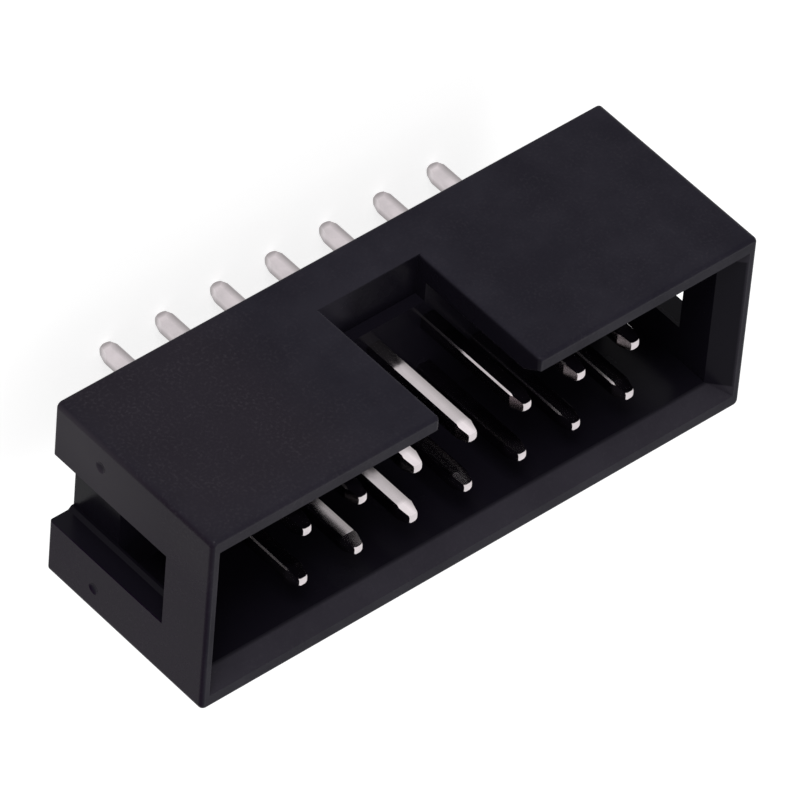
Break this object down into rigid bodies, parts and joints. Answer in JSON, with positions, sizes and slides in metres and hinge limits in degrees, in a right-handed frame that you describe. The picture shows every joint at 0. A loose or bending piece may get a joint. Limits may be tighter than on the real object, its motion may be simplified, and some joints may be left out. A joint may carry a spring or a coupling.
{
  "type": "idc box header",
  "caption": "Shrouded pin header: an open moulded box with a key slot holds rows of straight square pins that solder into a board and mate with a ribbon cable socket.",
  "frame": {"origin": "centre of the flat face that sits on the board, midway between the pin rows and the two ends", "axes": "+X along the pin rows, +Y towards the long wall with the key slot, +Z out of the mouth, the way the socket leaves; the solder tails point to -Z"},
  "size_m": [0.0252, 0.0086, 0.0119],
  "materials": {
    "housing_plastic": "black glass-filled polyester, fine satin moulding",
    "pin_plating": "drawn brass wire with bright tin plating"
  },
  "bodies": {
    "root": {"housing": "housing_plastic", "pin_01": "pin_plating", "pin_02": "pin_plating", "pin_03": "pin_plating", "pin_04": "pin_plating", "pin_05": "pin_plating", "pin_06": "pin_plating", "pin_07": "pin_plating", "pin_08": "pin_plating", "pin_09": "pin_plating", "pin_10": "pin_plating", "pin_11": "pin_plating", "pin_12": "pin_plating", "pin_13": "pin_plating", "pin_14": "pin_plating"}
  },
  "joints": []
}
